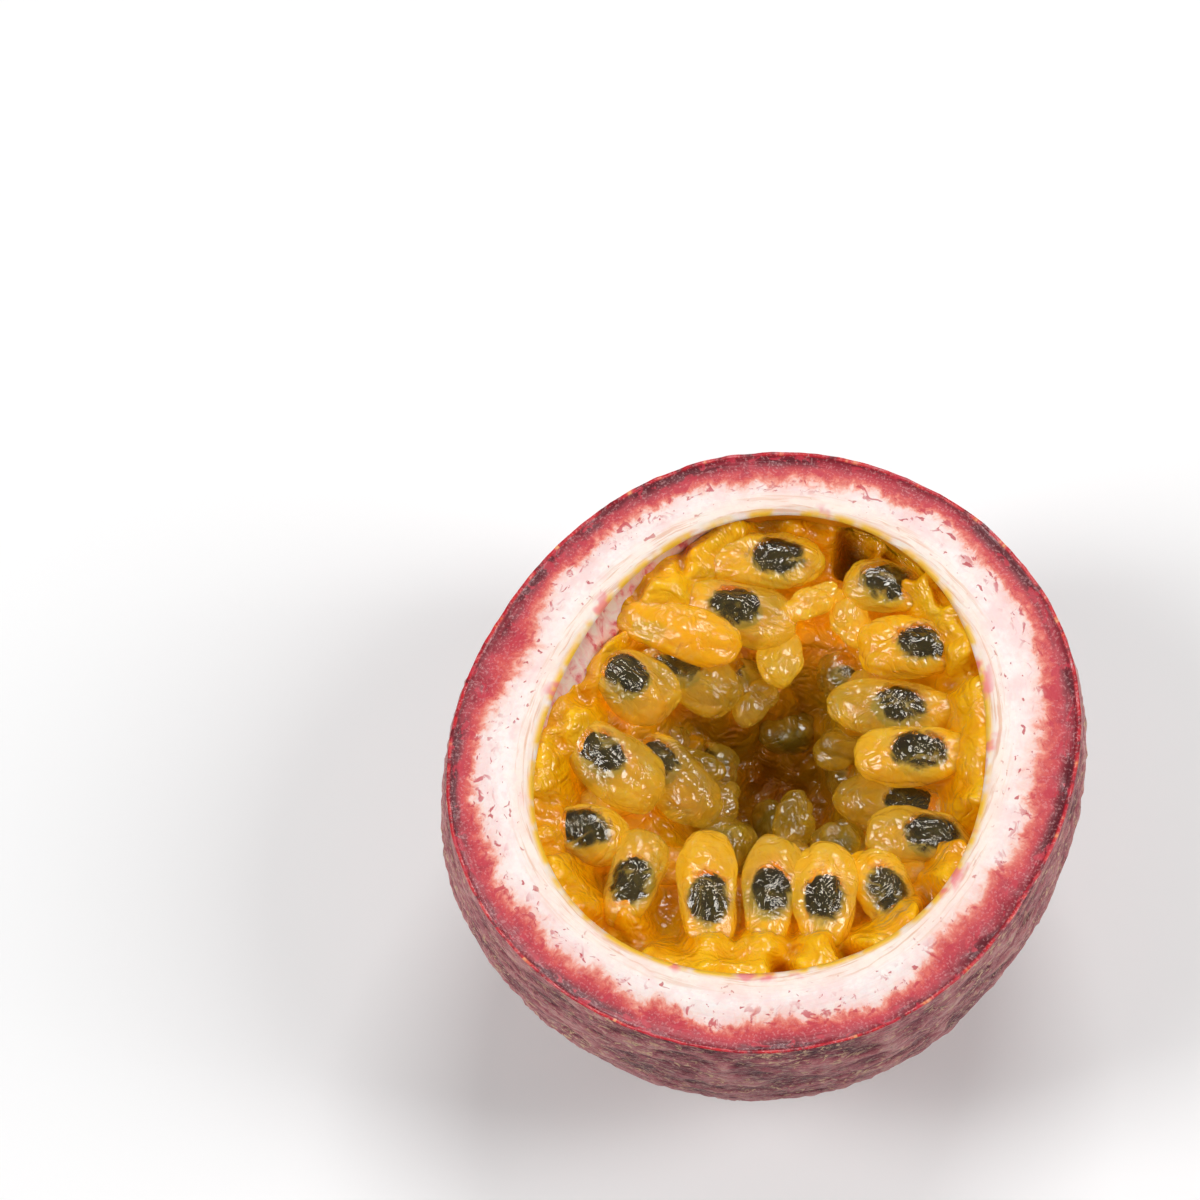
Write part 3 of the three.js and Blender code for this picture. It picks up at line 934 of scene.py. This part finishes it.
def make_sac(number, sac):
    piece, spot, towards_root = lying_ball(f"sac_{number:02d}", SAC_SEGMENTS, SAC_RINGS)
    round_girth = np.sqrt(np.maximum(1e-9, 1 - spot[:, 0] ** 2))
    blunt_girth = np.maximum(0, 1 - np.abs(spot[:, 0]) ** 2.7) ** 0.46
    girth = (1 - 0.30 * towards_root ** 1.5) * blunt_girth / round_girth
    spot[:, 1:] *= np.minimum(girth, 1.6)[:, None]
    thick = max(sac["height"], SAC_THICKENING * sac["width"])
    half = np.array([sac["length"], sac["width"] * SAC_WIDENING, thick]) / 2 * SAC_PLUMPNESS
    spot *= half
    spot[:, 2] -= SAC_SAG * (spot[:, 0] / half[0]) ** 2
    own = np.array([number * 7.3, number * 3.1, 0])
    dents = smooth_noise(spot / MM / [4.2, 2.2, 2.2] + own)
    creases = crease_noise(spot / MM / [5.0, 1.7, 1.7] + own + 50)
    wrinkled = ease(smooth_noise(spot / MM / 3.0 + own + 80), -0.05, 0.35)
    pucker = crease_noise(spot / MM / [2.0, 1.2, 1.2] + own + 20)
    push = 0.42 * dents - 0.14 * creases - 0.10 * wrinkled * pucker
    normal = spot / half ** 2
    normal /= np.linalg.norm(normal, axis=1)[:, None]
    spot += normal * push[:, None] * MM
    move_points(piece, spot)
    seed_shift = (sac["seed"] - sac["centre"]) @ sac["along"]
    aside = np.hypot((spot[:, 0] - seed_shift) / (SEED_SIZE[0] / 2), spot[:, 1] / (SEED_SIZE[1] / 2))
    depth_down = (HEIGHT - sac["centre"][2]) / MM
    # Painted shade: the deeper a sac lies, the lower this value, and the gel finish paints low values darker
    # and more olive.
    sac_depth_shade = 0.5 * ease(-depth_down, -11, -4)
    gold_and_depth_shade = mix(sac_depth_shade, 1, GOLDEN.get(number, 0))
    window = (1 - ease(aside, 0.62, 1.4)) * (number not in CLOUDED)
    keep(piece, "window", window)
    pulpy = ease(-spot[:, 0] / half[0] + 0.12 * dents, 0.15, 0.75) * (1 - window)
    keep(piece, "gold_and_depth_shade", mix(gold_and_depth_shade, 1, pulpy))
    piece.data.transform(stand(sac["centre"], sac["along"], sac["side"], sac["up"]))
    clean_up(piece)
    return piece


# %% [markdown]
# ## Gel finish
# Gel bends light a little more than water. Over the seed light passes through, tinted amber, and away from
# it a share scatters in the juice, so thick sacs glow. Lamps would be blocked by clear gel, because a
# renderer can't aim a shadow ray through a bent surface, so shadow rays are let straight through with a
# tint. The coat that mirrors the lamps reads the same creases as the gel, which breaks the highlights up as
# on wet film.


# %% Gel
def make_gel():
    gel = Finish("amber_gel")
    here = gel.here()
    gold_and_depth_shade = gel.kept("gold_and_depth_shade")
    window = gel.kept("window")
    cloud = gel.clouds(here, 420, 3, 0.6, 0.7)
    # Low values give dark olive gel, painted shade for deep sacs and membranes; high values give the golden
    # colour of gel filled with pulp.
    base = gel.ramp(gel.maths("ADD", gold_and_depth_shade, gel.centred(cloud, 0.7), clamp=True), [
        (0.00, linear(160, 132, 30)),
        (0.30, linear(208, 176, 54)),
        (0.55, linear(234, 200, 62)),
        (1.00, linear(246, 188, 14)),
    ])
    patchy = gel.clouds(here, 460, 4, 0.6, 1.0)
    opened = gel.band(gel.total(gel.centred(patchy, 1.7), gel.times(window, 0.84)), -0.1, 0.84)
    base = gel.blend(opened, base, linear(238, 204, 100))
    milky = gel.band(gold_and_depth_shade, 0.2, 1.0, 0.72, 0.25)
    passes = gel.maths("MAXIMUM", milky, gel.times(opened, 0.985))
    wobble = gel.clouds(here, 560, 4, 0.55, 1.0)
    facets = gel.creased(here, 420)
    crinkled = gel.bump(gel.total(gel.times(wobble, 0.6), facets), 0.8, 0.4 * MM)
    clear = gel.surface(
        Base_Color=base,
        Roughness=0.06,
        IOR=1.37,
        Transmission_Weight=passes,
        Subsurface_Weight=1.0,
        Subsurface_Radius=(0.8, 0.7, 0.25),
        Subsurface_Scale=1.2 * MM,
        Coat_Weight=0.8,
        Coat_Roughness=0.03,
        Normal=crinkled,
        Coat_Normal=crinkled,
    )
    passing = gel.node("ShaderNodeBsdfTransparent", {"Color": linear(253, 242, 206)}).outputs[0]
    is_shadow = gel.node("ShaderNodeLightPath").outputs["Is Shadow Ray"]
    both = gel.node("ShaderNodeMixShader", {0: is_shadow, 1: clear, 2: passing}).outputs[0]
    return gel.finish(both)


# %% Fill the bed with sacs
gel_finish = make_gel()
for number, sac in enumerate(sacs, start=1):
    piece = make_sac(number, sac)
    piece.data.materials.append(gel_finish)
    settle(piece, [sac_names[number - 1]])
print("sacs made:", len(sacs))

# %% [markdown]
# ## Torn membrane
# Round the hollow the cut has torn some sacs, and their crumpled skins lie between the whole ones. Each is
# a small sphere flattened and creased more deeply than a sac. A row of the list gives a membrane's place
# across the fruit, how far below the cut it lies, its length and its width, in millimetres. They are joined
# to one piece.

# %% Crumple the membranes
MEMBRANE_SEGMENTS = 72
MEMBRANE_RINGS = 54
MEMBRANE_FLATNESS = np.array([0.72, 0.66, 0.46])
MEMBRANES = [
    (1.5, 10.6, 5.6, 4.6, 3.4),
    (7.7, 14.0, 5.2, 4.4, 3.0),
    (4.4, 15.2, 4.0, 4.2, 2.6),
    (9.8, 8.0, 6.4, 4.0, 3.0),
    (-4.4, 8.8, 7.6, 4.2, 3.2),
    (-0.8, 7.4, 8.6, 3.6, 2.8),
    (-6.4, 0.6, 8.8, 4.2, 3.4),
    (-4.0, -2.2, 10.4, 3.8, 3.0),
    (2.6, -3.4, 11.4, 4.4, 3.0),
    (-3.2, -7.0, 7.4, 3.6, 3.0),
    (2.2, -8.2, 7.6, 3.6, 2.8),
    (6.6, -7.2, 7.4, 3.8, 3.0),
    (7.0, 3.0, 9.0, 4.0, 3.4),
    (10.8, -3.2, 8.0, 4.4, 3.2),
    (-8.6, -9.2, 6.4, 3.8, 3.0),
    (-13.2, -3.0, 5.8, 4.2, 3.0),
    (-9.4, 14.2, 6.4, 4.0, 2.8),
    (13.4, -10.4, 6.0, 4.2, 3.0),
]
crumpled = []
for number, (x, y, below, length, width) in enumerate(MEMBRANES):
    piece = new_ball(f"membrane_{number:02d}", MEMBRANE_SEGMENTS, MEMBRANE_RINGS)
    round_spot = points_of(piece)
    spot = round_spot * np.array([length, width, width]) * MEMBRANE_FLATNESS
    own = np.array([number * 4.7, 0, number * 2.9])
    deep = crease_noise(spot / 3.4 + own)
    small = crease_noise(spot / [2.2, 0.8, 0.8] + own + 9)
    bulge = smooth_noise(spot / 2.2 + own + 30)
    spot += round_spot * (0.5 * bulge - 0.34 * deep - 0.07 * small)[:, None]
    move_points(piece, spot * MM)
    heading = math.atan2(y, x) + 0.9 * math.sin(number * 2.1)
    piece.data.transform(Matrix.Rotation(heading, 4, "Z"))
    piece.data.transform(Matrix.Translation(Vector((x * MM, y * MM, HEIGHT - below * MM))))
    keep(piece, "window", np.zeros(len(spot)))
    # Painted shade: a membrane lying deeper gets a lower value, so its gel is painted darker and more olive.
    keep(piece, "gold_and_depth_shade", np.full(len(spot), 0.18 + 0.5 * ease(-below, -7.5, -4.5)))
    crumpled.append(piece)

for piece in crumpled:
    piece.select_set(True)
bpy.context.view_layer.objects.active = crumpled[0]
bpy.ops.object.join()
membranes = bpy.context.object
membranes.name = "torn_membranes"
clean_up(membranes)
membranes.data.materials.append(gel_finish)
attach(membranes, "root")
print("membranes:", len(MEMBRANES), "with", len(membranes.data.polygons), "faces")

# %% [markdown]
# ## Seeds
# A seed is a flat oval, a little pointed at the root end, with a nearly black skin full of shallow pits.
# The larger pits are moved points, and the fine ones are bump from a Voronoi pattern. A seed in a clouded
# sac is smaller and set lower, so the pulp hides it.

# %% Seed finish
def make_seed_finish():
    pitted = Finish("pitted_dark_seed")
    here = pitted.here()
    pits = pitted.node("ShaderNodeTexVoronoi", {"Vector": here, "Scale": 1900}).outputs[0]
    tone = pitted.clouds(here, 500, 3)
    base = pitted.ramp(tone, [
        (0.30, linear(8, 8, 8)),
        (0.55, linear(22, 22, 20)),
        (0.80, linear(58, 57, 48)),
    ])
    return pitted.finish(pitted.surface(
        Base_Color=base,
        Roughness=0.38,
        Specular_IOR_Level=0.2,
        Normal=pitted.bump(pits, 0.6, 0.12 * MM),
    ))


# %% Put a seed in each sac
SEED_SEGMENTS = 40
SEED_RINGS = 28
CLOUDED_SIZE = 0.8
CLOUDED_DROP = 0.6 * MM


def make_seed(number, sac):
    piece, spot, towards_root = lying_ball(f"pip_{number:02d}", SEED_SEGMENTS, SEED_RINGS)
    spot[:, 1:] *= (1 - 0.3 * towards_root ** 2)[:, None]
    spot *= SEED_SIZE / 2
    pits = crease_noise(spot / MM * 1.6 + number * 5)
    spot *= (1 - 0.02 * pits)[:, None]
    if number in CLOUDED:
        spot *= CLOUDED_SIZE
        spot[:, 2] -= CLOUDED_DROP
    move_points(piece, spot)
    piece.data.transform(stand(sac["seed"], sac["along"], sac["side"], sac["up"]))
    clean_up(piece)
    return piece


pip_finish = make_seed_finish()
for number, sac in enumerate(sacs, start=1):
    piece = make_seed(number, sac)
    piece.data.materials.append(pip_finish)
    settle(piece, [sac_names[number - 1].replace("juice_sac", "seed")])
print("seeds made:", len(sacs))

# %% [markdown]
# ## Stem stub
# The stalk broke off just outside the skin and left a dry, hollow, tan button in the dimple under the
# fruit. It is rolled up from a short section like the rind, and its side is grained by noise.

# %% Make the stem stub
stub_low, stub_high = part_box("stem_stub")
stub_radius = (stub_high.x - stub_low.x) / 2
stub_rows = np.array([
    (0, stub_low.z + 0.5 * MM),
    (stub_radius * 0.30, stub_low.z + 0.45 * MM),
    (stub_radius * 0.42, stub_low.z + 0.12 * MM),
    (stub_radius * 0.55, stub_low.z),
    (stub_radius * 0.80, stub_low.z + 0.02 * MM),
    (stub_radius * 0.95, stub_low.z + 0.2 * MM),
    (stub_radius, mix(stub_low.z, stub_high.z, 0.5)),
    (stub_radius * 0.98, stub_high.z),
    (0, stub_high.z),
])
stub, _ = roll_section("stalk_stub", stub_rows, 96)
stub_place = points_of(stub)
stub_angle = np.arctan2(stub_place[:, 1], stub_place[:, 0])
grain = smooth_noise(on_ring(stub_angle, 5, stub_place[:, 2] / MM))
stub_place[:, :2] *= (1 + 0.05 * grain)[:, None]
move_points(stub, stub_place)
print("stub radius:", stub_radius)


# %% Dry stalk
def make_stub_finish():
    woody = Finish("dry_stalk")
    here = woody.here()
    tone = woody.clouds(here, 900, 4, 0.6, 0.5)
    base = woody.ramp(tone, [
        (0.30, linear(110, 92, 40)),
        (0.50, linear(178, 152, 92)),
        (0.75, linear(222, 208, 160)),
    ])
    return woody.finish(woody.surface(
        Base_Color=base,
        Roughness=0.7,
        Normal=woody.bump(tone, 0.7, 0.2 * MM),
    ))


stub.data.materials.append(make_stub_finish())
settle(stub, ["stem_stub"])
print("stub:", len(stub.data.polygons), "faces")

# %% [markdown]
# ## Stage, light and camera
# The floor is plain and nearly white. Two tall soft lamps stand left and right, so every wet curve shows a
# pair of long bright reflections. A smaller one stands high behind and lights the far rim, and a faint even
# glow from all round fills the shadows.

# %% Floor
floor = added(bpy.ops.mesh.primitive_plane_add, "floor", size=4)
floor_finish = Finish("plain_floor")
floor.data.materials.append(floor_finish.finish(floor_finish.surface(
    Base_Color=(0.93, 0.93, 0.93, 1),
    Roughness=0.8,
)))
print("floor:", tuple(floor.dimensions))

# %% Lamps
FRUIT_MIDDLE = Vector((0, 0, HEIGHT * 0.55))
LAMP_DISTANCE = 0.9
WORLD_STRENGTH = 0.17


def add_lamp(name, direction, width, height, power):
    spot = FRUIT_MIDDLE + Vector(direction).normalized() * LAMP_DISTANCE
    lamp = added(bpy.ops.object.light_add, name, type="AREA", location=spot)
    lamp.data.shape = "RECTANGLE"
    lamp.data.size = width
    lamp.data.size_y = height
    lamp.data.energy = power
    lamp.rotation_euler = (FRUIT_MIDDLE - spot).to_track_quat("-Z", "Y").to_euler()


add_lamp("lamp_left", (-1.0, -0.2, 1.0), 0.26, 0.54, 4.1)
add_lamp("lamp_right", (1.0, -0.1, 1.0), 0.24, 0.54, 3.7)
add_lamp("lamp_behind", (0.15, 0.75, 1.1), 0.38, 0.20, 2.9)
world = bpy.data.worlds.new("pale_room")
world.use_nodes = True
background = world.node_tree.nodes["Background"]
background.inputs["Color"].default_value = (1, 1, 1, 1)
background.inputs["Strength"].default_value = WORLD_STRENGTH
bpy.context.scene.world = world
bpy.context.scene.view_settings.view_transform = "Standard"

# %% [markdown]
# The camera looks down on the cut face, about twenty degrees off its normal, through a long lens. It is
# turned a little to the left and up, so the fruit stands to the right of the picture's middle and a little
# low.

# %% Camera
LENS = 100
SENSOR = 36
VIEW_HEIGHT_ANGLE = math.radians(68.9)
CAMERA_DISTANCE = 300 * MM
PICTURE_SHIFT = (0.1358, 0.1492)
aim = Vector((0, 0, HEIGHT * 0.74))
sight = Vector((0, -math.cos(VIEW_HEIGHT_ANGLE), math.sin(VIEW_HEIGHT_ANGLE)))
camera = added(bpy.ops.object.camera_add, "camera", location=aim + sight * CAMERA_DISTANCE)
camera.data.lens = LENS
camera.data.sensor_width = SENSOR
camera.data.clip_start = 0.01
straight = (-sight).to_track_quat("-Z", "Y").to_matrix()
look_left = Matrix.Rotation(math.atan(PICTURE_SHIFT[0] * SENSOR / LENS), 3, "Y")
look_up = Matrix.Rotation(math.atan(PICTURE_SHIFT[1] * SENSOR / LENS), 3, "X")
camera.rotation_euler = (straight @ look_left @ look_up).to_euler()
bpy.context.scene.camera = camera
print("camera at", tuple(camera.location))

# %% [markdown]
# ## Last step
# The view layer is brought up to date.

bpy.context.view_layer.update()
